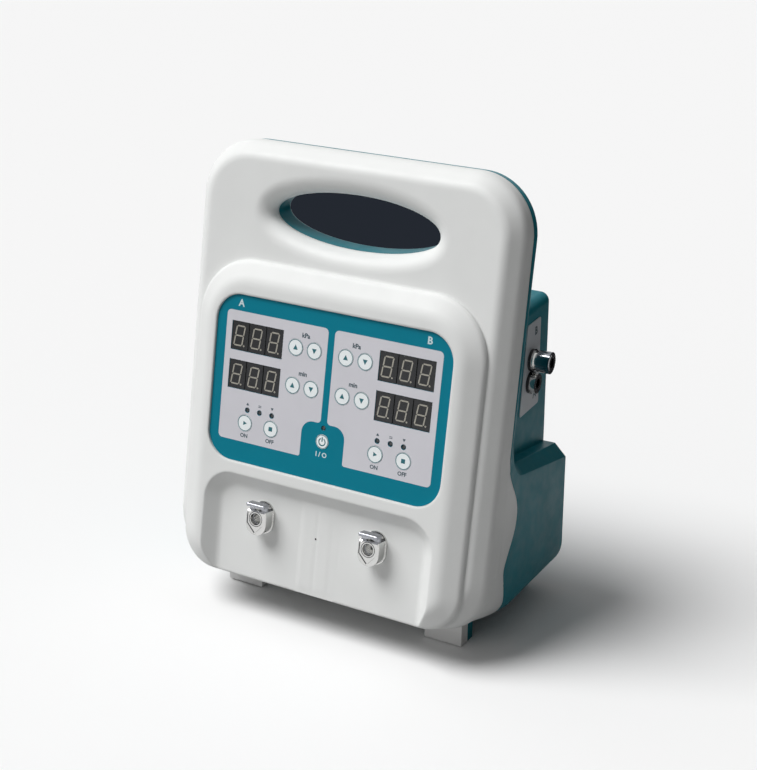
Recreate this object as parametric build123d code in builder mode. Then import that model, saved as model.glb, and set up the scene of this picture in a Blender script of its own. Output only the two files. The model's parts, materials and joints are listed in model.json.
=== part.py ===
from build123d import *
from math import atan2, cos, degrees, radians, sin, tan
import os

# Pneumatic tourniquet with two channels, millimetres, +Z up, front towards -Y.
# Origin: on the ground, under the middle of the case.
# The front face leans back, so its details are placed by u to the right, v up the face
# and depth into the case, measured from the centre of the keypad overlay.

# Case
lean = 10.8
overlay_centre_y = -50.3
overlay_centre_z = 160.0
case_width = 233.0
case_top = 152.5
case_bottom = -134.0
case_corner = 38.0
tub_bottom = -141.5
wall = 2.6
slab_front = 8.5
slab_bevel = 9.2
slab_edge_round = 8.0
slab_side_round = 7.0
waist_depth = 26.0
seam_gap = 0.3

# Rear of the case
rear_y = 70.1
rear_width = 224.6
middle_y = -5.3
middle_width = 229.8
middle_corner = 27.0
rear_corner = 24.0
ground_clearance = 12.0
block_top = 212.0
block_rear_width = 193.0
block_taper = 3.5
block_side_round = 6.0
block_rear_round = 3.0
rim_depth = 37.0
rim_round = 5.0
ledge_height = 107.0
pocket_radius = 25.0
ledge_flat = 7.6
ledge_drop = 10.0

# Raised platform that carries the overlay
platform_width = 210.0
platform_top = 77.0
platform_top_corner = 40.0
platform_low_corner = 26.0
platform_proud = 1.2
platform_slope_run = 13.0
platform_slope_drop = 7.0
platform_edge_round = 14.0
platform_foot_round = 3.6

# Hand opening
grip_centre_z = 263.7
grip_half_width = 60.2
grip_half_height = 17.0
grip_flare = 11.0
grip_rim_depth = 21.0
grip_rear_flare = 4.0

# Lower recess with the two cuff couplings
recess_width = 172.0
recess_top = -63.0
recess_slope = 9.0
recess_floor = 6.5
recess_round = 6.0
rib_half_width = 14.5
rib_height = 0.8
pinhole_radius = 0.6
pinhole_place = (-1.9, -95.0)
coupling_u = 42.5
coupling_v = -89.0

# Keypad overlay and its windows
overlay_width = 173.2
overlay_height = 109.4
overlay_corner = 18.0
overlay_thickness = 1.0
window_width = 39.5
window_height = 19.0
window_u = 55.2
window_rows = (27.7, 2.4)
slip_gap = 0.25
key_radius = 5.4
power_key_radius = 4.6
key_gap = 0.2
key_cap = 0.6
key_proud = 0.2
key_travel = 0.5
stem_radius = 1.5
stem_clearance = 0.05
stem_wall_gap = 0.4
adjust_rows = (27.9, 3.2)
adjust_keys_a = (-25.6, -11.7)
adjust_keys_b = (11.5, 25.6)
run_keys_a = (-59.3, -39.3)
run_keys_b = (38.8, 59.0)
run_row = -28.5
lamp_radius = 1.5
lamp_hole_gap = 0.2
lamps_a = (-58.2, -48.8, -39.3)
lamps_b = (39.4, 48.8, 58.2)
lamp_row = -19.7

# Display board
board_front = 9.0
board_thickness = 1.6
board_width = 156.0
board_height = 104.0
digit_width = 12.6
digit_gap = 0.6
digit_front = 0.3
switch_size = 6.0
switch_height = 3.6
switch_bore_depth = 2.6
stem_length = 6.5
board_boss_radius = 3.5
board_boss_u = 73.5
board_boss_v = 47.0
small_screw_radius = 1.5
small_head_radius = 2.8
small_head_height = 1.8
board_screw_length = 7.0
seat_gap = 0.3

# Cuff couplings on the front
coupling_body_width = 15.2
coupling_body_height = 20.6
coupling_body_drop = 0.6
coupling_body_top = 5.4
coupling_body_length = 10.4
coupling_flange_grow = 0.6
coupling_flange = 1.4
coupling_bore = 4.0
coupling_bore_depth = 13.0
coupling_thread_radius = 5.6
coupling_thread_length = 11.0
coupling_shoulder_radius = 3.6
coupling_shoulder_length = 3.0
coupling_nut_radius = 8.6
coupling_nut_thickness = 3.5
latch_level = 6.3
latch_width = 13.0
latch_bottom = -9.8
latch_thickness = 1.8
latch_travel = 2.5
latch_gap = 0.08
tab_width = 13.6
tab_bottom = 8.1
tab_thickness = 2.4
tab_reach = 12.6

# Side air ports on the right wall of the upper block, with their label plate
port_y = (38.2, 39.8)
port_z = (160.4, 175.2)
port_reach = (6.0, 14.4)
port_flange_radius = 7.3
port_flange_thickness = 2.0
port_body_radius = 5.2
port_collar_radius = 6.6
port_bore = 3.2
port_bore_depth = 12.0
port_sleeve_radius = 7.2
port_sleeve_travel = 2.0
port_thread_length = 9.0
port_nut_radius = 7.2
port_nut_thickness = 3.0
sleeve_clearance = 0.05
knurl_count = 30
knurl_width = 0.5
label_low_z = 141.0
label_high_z = 200.5
label_rear_y = 53.7
label_front_top_y = 32.0
label_front_low_y = 22.0
label_thickness = 0.5

# Feet
foot_width = 27.0
foot_x = 77.5
foot_toe_front_y = -34.9
foot_toe_depth = 8.7
foot_heel_depth = 6.8
foot_round = 2.0
rear_foot_y = 56.0
rear_foot_depth = 12.0

# Rear panel
inlet_x = 52.0
inlet_z = 45.0
inlet_opening = (27.0, 19.5)
inlet_flange = (50.0, 25.0)
inlet_flange_thickness = 2.5
inlet_depth = 24.0
inlet_cavity = (24.2, 16.6)
inlet_cavity_depth = 17.0
inlet_screw_spacing = 40.0
pin_size = (2.0, 4.0)
pin_length = 14.0
pin_offset = 7.0
pin_raise = 4.0
rocker_x = 12.0
rocker_opening = (12.0, 19.0)
rocker_frame = (16.5, 24.0)
rocker_frame_wall = 0.8
rocker_frame_flange = 1.5
rocker_frame_depth = 14.0
rocker_half_height = 8.6
rocker_rise = 3.2
rocker_dip = 1.6
rocker_depth = 3.0
rocker_swing = 9.0
vent_slots = 9
vent_pitch = 7.0
vent_width = 3.0
vent_length = 46.0
vent_z = 165.0
vent_x = 48.0

# Case screws in deep wells
low_screws = ((-88.0, 42.0), (88.0, 42.0))
high_screws = ((-86.0, 196.0), (86.0, 196.0))
handle_screws = ((-84.0, 262.0), (84.0, 262.0))
low_post_joint = -11.9
high_post_joint = -13.9
well_radius = 4.4
boss_radius = 6.6
boss_floor = 5.0
screw_radius = 2.0
screw_head_radius = 3.6
screw_head_height = 2.6
screw_length = 16.0
screw_clearance = 0.3

# Inside of the case
battery_size = (76.0, 38.0, 46.0)
battery_x = -40.0
battery_y = 44.0
pump_x = 64.0
pump_y = -2.0
pump_axis_z = 34.0
pump_motor_radius = 13.5
pump_motor_length = 32.0
pump_head_size = (30.0, 22.0, 32.0)
manifold_size = (80.0, 20.0, 22.0)
manifold_y = -2.0
valve_radius = 7.5
valve_height = 24.0
valve_places = (-30.0, -10.0, 10.0, 30.0)
tube_level = 26.0
tube_step = 4.5
tube_radius = 2.4
tube_bore = 1.5
tube_bend = 8.0
barb_radius = 1.2
barb_length = 4.0
front_tube_x = 34.0
port_tube_ends = (34.0, 22.0)
port_tube_x = (66.0, 56.0)
sensor_tube_y = 21.8
main_board_size = (150.0, 92.0)
main_board_z = 158.0
main_board_gap = 8.0
main_post_x = 70.0
main_post_rise = 41.0
chip_size = 14.0
chip_height = 2.0
chip_row = 24.0
supply_size = (70.0, 22.0, 40.0)
supply_x = 45.0
supply_z = 86.0
sensor_size = (13.0, 8.0, 13.0)
sensor_x = (-30.0, 8.0)
buzzer_radius = 6.0
buzzer_height = 8.0

lean_sin = sin(radians(lean))
lean_cos = cos(radians(lean))
face_normal = Vector(0, -lean_cos, lean_sin)
face = Plane(origin=(0, overlay_centre_y, overlay_centre_z), x_dir=(1, 0, 0), z_dir=face_normal)
side = Plane(origin=(0, overlay_centre_y, overlay_centre_z), x_dir=(0, lean_cos, -lean_sin), z_dir=(1, 0, 0))
rear = Plane(origin=(0, rear_y, 0), x_dir=(1, 0, 0), z_dir=(0, -1, 0))
outward = Axis(face.origin, face_normal)
half_block = block_rear_width / 2
recess_angle = degrees(atan2(recess_slope, recess_floor + platform_proud))
block_side = Plane(
    origin=(half_block, rear_y, 0),
    x_dir=(-sin(radians(block_taper)), cos(radians(block_taper)), 0),
    z_dir=(cos(radians(block_taper)), sin(radians(block_taper)), 0),
)


def at_depth(depth):
    """Plane parallel to the leaning face, this far behind the overlay."""
    return face.offset(-depth)


def face_point(u, v, depth):
    """Place of a point given by its two face coordinates and its depth."""
    return face.from_local_coords((u, v, -depth))


def block_side_x(y):
    """X of the upper block's right wall at this Y."""
    return half_block + (rear_y - y) * tan(radians(block_taper))


def finish(builder, name):
    """Label a piece and write it to its file."""
    builder.part.label = name
    export_step(builder.part, f"parts/{name}.step")


def slab_form(inset):
    """Leaning front slab with its bevelled and rounded rim."""
    with BuildPart() as slab:
        with BuildSketch(at_depth(slab_front + inset)):
            with Locations((0, (case_top + case_bottom) / 2)):
                RectangleRounded(
                    case_width - 2 * inset, case_top - case_bottom - 2 * inset, case_corner - inset
                )
        extrude(amount=-(rim_depth - slab_front - 2 * inset))
        chamfer(slab.faces().sort_by(outward)[-1].edges(), slab_bevel)
        if inset == 0:
            side_depth = slab_front + slab_bevel
            bevel_rim = slab.edges().filter_by_position(outward, -side_depth - 0.1, -side_depth + 0.1)
            fillet(bevel_rim, slab_side_round)
            fillet(slab.faces().sort_by(outward)[-1].edges(), slab_edge_round)
            fillet(slab.faces().sort_by(outward)[0].edges(), rim_round)
    return slab.part


def tub_section(builder, bottom, width, corner, inset):
    """Upright section of the body behind the slab, drawn in its width and height."""
    with Locations((0, (bottom + block_top) / 2)):
        Rectangle(width - 2 * inset, block_top - bottom - 2 * inset)
    fillet(builder.vertices().group_by(Axis.Y)[0], corner - inset)


def tub_form(inset):
    """Body behind the slab: lower block, ledges and narrower upper block."""
    middle = Plane(origin=(0, middle_y, 0), x_dir=(1, 0, 0), z_dir=(0, -1, 0))
    with BuildPart() as tub:
        low = tub_bottom + inset
        high = (block_top - inset - overlay_centre_z + waist_depth * lean_sin) / lean_cos
        with BuildSketch(at_depth(waist_depth)) as waist:
            with Locations((0, (low + high) / 2)):
                Rectangle(case_width - 2 * inset, high - low)
            fillet(waist.vertices().group_by(Axis.Y)[0], case_corner - inset)
        with BuildSketch(middle) as centre:
            tub_section(centre, ground_clearance, middle_width, middle_corner, inset)
        loft()
        with BuildSketch(middle) as centre_again:
            tub_section(centre_again, ground_clearance, middle_width, middle_corner, inset)
        with BuildSketch(rear.offset(inset)) as back:
            tub_section(back, ground_clearance, rear_width, rear_corner, inset)
        loft()
        add(side_pockets(inset), mode=Mode.SUBTRACT)
        if inset == 0:
            top_edges = tub.faces().sort_by(Axis.Z)[-1].edges()
            side_edges = [edge for edge in top_edges if abs(abs(edge.center().X) - half_block) < ledge_flat / 2]
            fillet(side_edges, block_side_round)
            fillet(tub.faces().sort_by(Axis.Z)[-1].edges().sort_by(Axis.Y)[-1], block_rear_round)
    return tub.part


def case_form(inset):
    """Body of the case without its platform, or its cavity when inset is the wall."""
    with BuildPart() as form:
        add(slab_form(inset))
        add(tub_form(inset))
    return form.part


def pocket_profile(front_depth, level):
    """Side view of the hollow beside the upper block, on the block's wall plane."""
    slope = tan(radians(lean))
    reach = rear_y - overlay_centre_y
    front_at_level = front_depth / lean_cos - (overlay_centre_z - level) * slope - reach
    corner_x = front_at_level * (1 - slope * slope)
    corner_y = level - corner_x * slope
    top = block_top + case_width
    Polygon(
        (corner_x, corner_y),
        (reach, level - reach * slope),
        (reach, top),
        (corner_x + (top - corner_y) * slope, top),
        align=None,
    )


def side_pockets(grow):
    """Hollows on both sides of the upper block, with the flared ledge under them."""
    with BuildPart() as pockets:
        with BuildSketch(block_side.offset(-grow)) as inner:
            pocket_profile(rim_depth - rim_round, ledge_height)
            fillet(inner.vertices().sort_by(Axis.Y)[1], pocket_radius)
            if grow:
                offset(amount=grow)
        extrude(amount=case_width)
        with BuildSketch(block_side.offset(ledge_flat - grow)) as flare:
            pocket_profile(rim_depth - rim_round + ledge_drop, ledge_height)
            fillet(flare.vertices().sort_by(Axis.Y)[1], pocket_radius - ledge_drop)
            if grow:
                offset(amount=grow)
        extrude(amount=2 * ledge_drop, taper=-45)
        mirror(about=Plane.YZ)
    return pockets.part


def front_region(shift):
    """Everything ahead of the parting line, which swings back at the foot of the case."""
    with BuildPart() as region:
        with BuildSketch(side):
            with BuildLine():
                top = Line((-50, 190), (26.5 + shift, 190))
                straight = Line(top @ 1, (30.5 + shift, -16))
                swing = Spline(
                    straight @ 1,
                    (38.5 + shift, -36.5),
                    (53.5 + shift, -57),
                    (52.5 + shift, -73),
                    (42 + shift, -97),
                    (58 + shift, -128),
                    (70 + shift, -150),
                    tangents=(straight % 1, (0.8, -1)),
                )
                Polyline(swing @ 1, (70 + shift, -190), (-50, -190), (-50, 190))
            make_face()
        extrude(amount=case_width, both=True)
    return region.part


def recess_cutter():
    """Lower recess: flat floor, sloping walls with rounded feet, open below."""
    with BuildPart() as cutter:
        with BuildSketch(at_depth(recess_floor)) as floor:
            with Locations((0, (recess_top - recess_slope + case_bottom) / 2 - case_corner / 2)):
                Rectangle(recess_width - 2 * recess_slope, recess_top - recess_slope - case_bottom + case_corner)
            fillet(floor.vertices().group_by(Axis.Y)[-1], 2 * recess_round)
        extrude(amount=recess_floor + 2 * platform_proud, taper=-recess_angle)
        fillet(cutter.faces().sort_by(outward)[0].edges(), recess_round)
    return cutter.part


def face_depth_y(z, depth):
    """Y of the point at this height and depth in the leaning face."""
    v = (z - overlay_centre_z + depth * lean_sin) / lean_cos
    return overlay_centre_y + v * lean_sin + depth * lean_cos


def grip_ellipse(grow):
    """Outline of the hand opening in the front view, grown by a wall."""
    with Locations((0, grip_centre_z)):
        Ellipse(grip_half_width + grow, grip_half_height + grow)


def platform_sketch(builder, inset):
    """Outline of the platform's foot."""
    height = platform_top - case_bottom - 2 * inset
    with Locations((0, (platform_top + case_bottom) / 2)):
        Rectangle(platform_width - 2 * inset, height)
    fillet(builder.vertices().group_by(Axis.Y)[-1], platform_top_corner - inset)
    fillet(builder.vertices().group_by(Axis.Y)[0], platform_low_corner - inset)


def key_places():
    """Name, u, v and radius of every key."""
    places = []
    for channel, columns in (("a", adjust_keys_a), ("b", adjust_keys_b)):
        for what, row in zip(("pressure", "time"), adjust_rows):
            places.append((f"key_{channel}_{what}_up", columns[0], row, key_radius))
            places.append((f"key_{channel}_{what}_down", columns[1], row, key_radius))
    for channel, columns in (("a", run_keys_a), ("b", run_keys_b)):
        places.append((f"key_{channel}_start", columns[0], run_row, key_radius))
        places.append((f"key_{channel}_stop", columns[1], run_row, key_radius))
    places.append(("key_power", 0.0, run_row, power_key_radius))
    return places


keys = key_places()
lamp_places = [(u, lamp_row) for u in lamps_a + lamps_b] + [(0.0, lamp_row)]
window_places = [(u, v) for u in (-window_u, window_u) for v in window_rows]
board_boss_places = [(u, v) for u in (-board_boss_u, board_boss_u) for v in (-board_boss_v, board_boss_v)]
coupling_places = [(-coupling_u, coupling_v), (coupling_u, coupling_v)]
port_places = list(zip(port_y, port_z))
main_post_places = [(x, main_board_z + z) for x in (-main_post_x, main_post_x) for z in (-main_post_rise, main_post_rise)]
main_board_y = rear_y - wall - main_board_gap
frame_grow = rocker_frame_wall + screw_clearance
inlet_screw_x = (inlet_x - inlet_screw_spacing / 2, inlet_x + inlet_screw_spacing / 2)

os.makedirs("parts", exist_ok=True)

outer_form = case_form(0)
cavity_form = case_form(wall)
ahead = front_region(0)
front_case_region = front_region(seam_gap)

recess_form = recess_cutter()
low_post_front = face_depth_y(low_screws[0][1], slab_front + wall / 2)
high_post_front = face_depth_y(high_screws[0][1], overlay_thickness + wall / 2)
handle_post_front = face_depth_y(handle_screws[0][1], slab_front + wall / 2)
handle_post_joint = face_depth_y(handle_screws[0][1], waist_depth)
handle_post_rear = face_depth_y(handle_screws[0][1], rim_depth - wall / 2)


def cylinder_y(x, z, y_from, y_to, radius):
    """Straight cylinder along Y, added to the open part."""
    with Locations((x, (y_from + y_to) / 2, z)):
        Cylinder(radius, abs(y_to - y_from), rotation=(90, 0, 0))


def cut_y(x, z, y_from, y_to, radius):
    """Straight hole along Y, cut from the open part."""
    with Locations((x, (y_from + y_to) / 2, z)):
        Cylinder(radius, abs(y_to - y_from), rotation=(90, 0, 0), mode=Mode.SUBTRACT)


def grip_tube(grow, near, far):
    """Elliptical sleeve round the hand opening, between two depths."""
    with BuildPart() as tube:
        with BuildSketch(Plane.XZ):
            grip_ellipse(grow)
        extrude(amount=case_width, both=True)
        with BuildSketch(at_depth(near)):
            Rectangle(2 * case_width, 2 * case_width)
        extrude(amount=near - far, mode=Mode.INTERSECT)
    return tube.part


def case_posts():
    """Screw posts: (x, z, near end, joint, far end) for every case screw."""
    posts = []
    for x, z in low_screws:
        posts.append((x, z, low_post_front, low_post_joint, rear_y - wall / 2))
    for x, z in high_screws:
        posts.append((x, z, high_post_front, high_post_joint, rear_y - wall / 2))
    for x, z in handle_screws:
        posts.append((x, z, handle_post_front, handle_post_joint, handle_post_rear))
    return posts


posts = case_posts()

# Front shell: bevelled slab, raised platform, flared hand opening and lower recess
with BuildPart() as front_shell:
    add(outer_form)
    with BuildSketch(at_depth(slab_front + slab_bevel + wall)) as foot_outline:
        platform_sketch(foot_outline, 0)
    extrude(amount=slab_front + slab_bevel + wall + platform_proud)
    platform_face = front_shell.faces().sort_by(outward)[-1]
    chamfer(platform_face.edges(), platform_slope_run, platform_slope_drop, reference=platform_face)
    slope_end = platform_slope_drop - platform_proud
    foot_edges = front_shell.edges().filter_by_position(outward, -slope_end - 0.1, -slope_end + 0.1)
    fillet(foot_edges, platform_foot_round)
    fillet(front_shell.faces().sort_by(outward)[-1].edges(), platform_edge_round)
    add(cavity_form, mode=Mode.SUBTRACT)
    with BuildSketch(at_depth(slab_front + 2 * wall)):
        with Locations((0, (platform_top + recess_top - platform_slope_run + wall) / 2)):
            RectangleRounded(
                platform_width - 2 * platform_slope_run - wall,
                platform_top - platform_slope_run - recess_top - wall,
                platform_low_corner,
            )
    extrude(amount=slab_front + wall - overlay_thickness, mode=Mode.SUBTRACT)
    add(grip_tube(grip_flare + wall, slab_front + wall / 2, grip_rim_depth))
    for x, z, near_end, joint, far_end in posts:
        cylinder_y(x, z, near_end, joint - seam_gap, boss_radius)
    with BuildSketch(at_depth(board_front - seat_gap)):
        with Locations(*board_boss_places):
            Circle(board_boss_radius)
    extrude(amount=board_front - seat_gap - overlay_thickness - wall / 2)
    add(ahead, mode=Mode.INTERSECT)
    add(recess_form, mode=Mode.SUBTRACT)
    with BuildSketch(at_depth(recess_floor + wall / 2)):
        with Locations((0, (recess_top - recess_slope + case_bottom) / 2 + recess_round)):
            Rectangle(2 * rib_half_width, recess_top - recess_slope - case_bottom - 2 * recess_round)
    extrude(amount=wall / 2 + rib_height)
    with BuildSketch(at_depth(recess_floor - rib_height)):
        with Locations(pinhole_place):
            Circle(pinhole_radius)
    extrude(amount=-2 * wall, mode=Mode.SUBTRACT)
    with BuildSketch(Plane.XZ):
        grip_ellipse(0)
    extrude(amount=case_width, both=True, mode=Mode.SUBTRACT)
    fillet(front_shell.edges(Select.LAST).sort_by(outward)[-1], grip_flare)
    with BuildSketch(at_depth(overlay_thickness)):
        RectangleRounded(overlay_width + 2 * slip_gap, overlay_height + 2 * slip_gap, overlay_corner + slip_gap)
    extrude(amount=overlay_thickness + 2 * platform_proud, mode=Mode.SUBTRACT)
    with BuildSketch(at_depth(overlay_thickness)):
        with Locations(*window_places):
            Rectangle(window_width, window_height)
        with Locations(*[(u, v) for name, u, v, radius in keys]):
            Circle(stem_radius + stem_wall_gap)
        with Locations(*lamp_places):
            Circle(lamp_radius + lamp_hole_gap)
    extrude(amount=-2 * wall, mode=Mode.SUBTRACT)
    with BuildSketch(at_depth(recess_floor)):
        with Locations(*coupling_places):
            Circle(coupling_thread_radius + screw_clearance)
    extrude(amount=-2 * slab_front, mode=Mode.SUBTRACT)
    with BuildSketch(at_depth(board_front - seat_gap)):
        with Locations(*board_boss_places):
            Circle(small_screw_radius + screw_clearance)
    extrude(amount=board_screw_length - board_thickness, mode=Mode.SUBTRACT)
    for x, z, near_end, joint, far_end in posts:
        cut_y(x, z, joint + boss_floor - screw_length - screw_clearance, joint, screw_radius + screw_clearance)
finish(front_shell, "front_shell")

# Rear shell: rim behind the grip, upper block between two ledges, wells for the case screws
with BuildPart() as rear_shell:
    add(outer_form)
    add(cavity_form, mode=Mode.SUBTRACT)
    add(front_case_region, mode=Mode.SUBTRACT)
    add(grip_tube(wall, grip_rim_depth + seam_gap, rim_depth - wall / 2))
    for x, z, near_end, joint, far_end in posts:
        cylinder_y(x, z, joint, far_end, boss_radius)
    for x, z in main_post_places:
        cylinder_y(x, z, main_board_y, rear_y - wall / 2, board_boss_radius)
    with BuildSketch(Plane.XZ):
        grip_ellipse(0)
    extrude(amount=case_width, both=True, mode=Mode.SUBTRACT)
    fillet(rear_shell.edges(Select.LAST).sort_by(outward)[0], grip_rear_flare)
    for x, z, near_end, joint, far_end in posts:
        cut_y(x, z, joint + boss_floor, rear_y + wall, well_radius)
        cut_y(x, z, joint - wall, joint + 2 * boss_floor, screw_radius + screw_clearance)
    for x, z in main_post_places:
        cut_y(x, z, main_board_y, main_board_y + board_screw_length, small_screw_radius + screw_clearance)
    for x in inlet_screw_x:
        cut_y(x, inlet_z, rear_y - 2 * wall, rear_y + wall, small_screw_radius + screw_clearance)
    with BuildSketch(Plane.XZ.offset(-rear_y)):
        with Locations((inlet_x, inlet_z)):
            Rectangle(*inlet_opening)
        with Locations((rocker_x, inlet_z)):
            Rectangle(rocker_opening[0] + 2 * frame_grow, rocker_opening[1] + 2 * frame_grow)
        with Locations((-vent_x, vent_z), (vent_x, vent_z)):
            with GridLocations(0, vent_pitch, 1, vent_slots):
                SlotOverall(vent_length, vent_width)
    extrude(amount=2 * wall, both=True, mode=Mode.SUBTRACT)
    with BuildSketch(block_side.offset(wall)) as port_holes:
        with Locations(*[(y - rear_y, z) for y, z in port_places]):
            Circle(port_body_radius + screw_clearance)
    extrude(amount=-3 * wall, mode=Mode.SUBTRACT)
finish(rear_shell, "rear_shell")

# Keypad overlay with its windows and key holes
with BuildPart() as keypad_overlay:
    with BuildSketch(face):
        RectangleRounded(overlay_width, overlay_height, overlay_corner)
        with Locations(*window_places):
            Rectangle(window_width, window_height, mode=Mode.SUBTRACT)
        for name, u, v, radius in keys:
            with Locations((u, v)):
                Circle(radius + key_gap, mode=Mode.SUBTRACT)
        with Locations(*lamp_places):
            Circle(lamp_radius + lamp_hole_gap, mode=Mode.SUBTRACT)
    extrude(amount=-overlay_thickness)
finish(keypad_overlay, "keypad_overlay")

# Keys: a cap in the overlay and a stem that reaches into its switch
for name, u, v, radius in keys:
    with BuildPart() as key:
        with BuildSketch(at_depth(key_cap - key_proud)):
            with Locations((u, v)):
                Circle(radius)
        extrude(amount=key_cap)
        with BuildSketch(at_depth(key_cap - key_proud)):
            with Locations((u, v)):
                Circle(stem_radius)
        extrude(amount=-stem_length)
    finish(key, name)

# Switch housings under the keys, soldered to the display board
switch_places = [(u, v) for name, u, v, radius in keys]
with BuildPart() as key_switches:
    with BuildSketch(at_depth(board_front)):
        with Locations(*switch_places):
            Rectangle(switch_size, switch_size)
    extrude(amount=switch_height)
    with BuildSketch(at_depth(board_front - switch_height)):
        with Locations(*switch_places):
            Circle(stem_radius + stem_clearance)
    extrude(amount=-switch_bore_depth, mode=Mode.SUBTRACT)
finish(key_switches, "key_switches")

# Display modules of three digits each
display_names = ("display_a_time", "display_a_pressure", "display_b_time", "display_b_pressure")
for name, place in zip(display_names, sorted(window_places)):
    with BuildPart() as display:
        with BuildSketch(at_depth(board_front)):
            with Locations(place):
                with GridLocations(digit_width + digit_gap, 0, 3, 1):
                    Rectangle(digit_width, window_height - 2 * slip_gap)
        extrude(amount=board_front - digit_front)
    finish(display, name)

# Indicator lamps
with BuildPart() as indicator_lamps:
    with BuildSketch(at_depth(board_front)):
        with Locations(*lamp_places):
            Circle(lamp_radius)
    extrude(amount=board_front - digit_front)
    fillet(indicator_lamps.edges().group_by(outward)[-1], lamp_radius * 0.6)
finish(indicator_lamps, "indicator_lamps")

# Display board on the posts behind the overlay
with BuildPart() as display_board:
    with BuildSketch(at_depth(board_front)):
        RectangleRounded(board_width, board_height, board_boss_radius)
        with Locations(*board_boss_places):
            Circle(small_screw_radius + screw_clearance, mode=Mode.SUBTRACT)
    extrude(amount=-board_thickness)
finish(display_board, "display_board")

# Sounder on the back of the display board
board_back = board_front + board_thickness
with BuildPart() as sounder:
    with BuildSketch(at_depth(board_back)):
        with Locations((0, window_rows[0])):
            Circle(buzzer_radius)
    extrude(amount=-buzzer_height)
    with BuildSketch(at_depth(board_back + buzzer_height)):
        with Locations((0, window_rows[0])):
            Circle(buzzer_radius / 6)
    extrude(amount=buzzer_height / 4, mode=Mode.SUBTRACT)
finish(sounder, "sounder")

# Main board on four posts of the rear shell
board_low_y = main_board_y - board_thickness
with BuildPart() as main_board:
    with BuildSketch(Plane.XZ.offset(-main_board_y)):
        with Locations((0, main_board_z)):
            Rectangle(*main_board_size)
        with Locations(*main_post_places):
            Circle(small_screw_radius + screw_clearance, mode=Mode.SUBTRACT)
    extrude(amount=board_thickness)
finish(main_board, "main_board")

# Chips and plugs on the main board
with BuildPart() as main_board_parts:
    with BuildSketch(Plane.XZ.offset(-board_low_y)):
        with Locations((0, main_board_z + chip_row)):
            Rectangle(chip_size, chip_size)
        with Locations((-3 * chip_size, main_board_z + chip_row), (2.4 * chip_size, main_board_z + chip_row)):
            Rectangle(chip_size * 1.2, chip_size * 0.6)
    extrude(amount=chip_height)
    with BuildSketch(Plane.XZ.offset(-board_low_y)):
        with Locations((0, main_board_z - chip_row)):
            with GridLocations(1.6 * chip_size, 0, 5, 1):
                Rectangle(chip_size, chip_size * 0.5)
    extrude(amount=4 * chip_height)
finish(main_board_parts, "main_board_parts")

# Pressure sensors on the main board, one for each channel
with BuildPart() as pressure_sensors:
    with Locations(*[(x, board_low_y - sensor_size[1] / 2, main_board_z) for x in sensor_x]):
        Box(*sensor_size)
    for x in sensor_x:
        cylinder_y(x, main_board_z, board_low_y - sensor_size[1], board_low_y - sensor_size[1] - barb_length, barb_radius)
finish(pressure_sensors, "pressure_sensors")

# Mains supply on the rear wall: folded chassis, transformer and capacitor
supply_y = rear_y - wall - supply_size[1] / 2
with BuildPart() as power_supply:
    with Locations((supply_x, supply_y, supply_z)):
        Box(*supply_size)
    with Locations((supply_x, supply_y - wall, supply_z)):
        Box(supply_size[0] - 2 * wall, supply_size[1], supply_size[2] + 2 * wall, mode=Mode.SUBTRACT)
    with Locations((supply_x - supply_size[0] / 5, supply_y, supply_z)):
        Box(supply_size[0] / 3, supply_size[1] - 2 * wall, supply_size[2] * 0.7)
    with Locations((supply_x + supply_size[0] / 4, supply_y, supply_z)):
        Cylinder(supply_size[2] / 6, supply_size[1] - 2 * wall, rotation=(90, 0, 0))
finish(power_supply, "power_supply")

# Battery on the floor
with BuildPart() as battery_pack:
    with Locations((battery_x, battery_y, ground_clearance + battery_size[2] / 2)):
        Box(*battery_size)
    add(cavity_form, mode=Mode.INTERSECT)
finish(battery_pack, "battery_pack")

# Air pumps, one for each channel: head, motor and cradle
for name, hand in (("air_pump_a", -1), ("air_pump_b", 1)):
    motor_y = pump_y - (pump_head_size[1] + pump_motor_length) / 2
    with BuildPart() as pump:
        with Locations((hand * pump_x, pump_y, ground_clearance + pump_head_size[2] / 2)):
            Box(*pump_head_size)
        with Locations((hand * pump_x, motor_y, pump_axis_z)):
            Cylinder(pump_motor_radius, pump_motor_length, rotation=(90, 0, 0))
        with Locations((hand * pump_x, motor_y, (ground_clearance + pump_axis_z) / 2)):
            Box(pump_motor_radius, pump_motor_length / 2, pump_axis_z - ground_clearance)
        with Locations((hand * (pump_x - pump_head_size[0] / 2 - barb_length / 2), pump_y, tube_level)):
            Cylinder(barb_radius, barb_length, rotation=(0, 90, 0))
        add(cavity_form, mode=Mode.INTERSECT)
    finish(pump, name)

# Manifold with its barbs
manifold_front = manifold_y - manifold_size[1] / 2
manifold_rear = manifold_y + manifold_size[1] / 2
manifold_top = ground_clearance + manifold_size[2]
port_tube_levels = (tube_level - tube_step, tube_level + tube_step)
with BuildPart() as valve_manifold:
    with Locations((0, manifold_y, ground_clearance + manifold_size[2] / 2)):
        Box(*manifold_size)
    with Locations((0, manifold_y, tube_level)):
        Cylinder(barb_radius, manifold_size[0] + 2 * barb_length, rotation=(0, 90, 0))
    for x in (-front_tube_x, front_tube_x):
        cylinder_y(x, tube_level, manifold_front, manifold_front - barb_length, barb_radius)
    for x in sensor_x:
        cylinder_y(x, tube_level, manifold_rear, manifold_rear + barb_length, barb_radius)
    for x, level in zip(port_tube_ends, port_tube_levels):
        cylinder_y(x, level, manifold_rear, manifold_rear + barb_length, barb_radius)
    add(cavity_form, mode=Mode.INTERSECT)
finish(valve_manifold, "valve_manifold")

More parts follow.
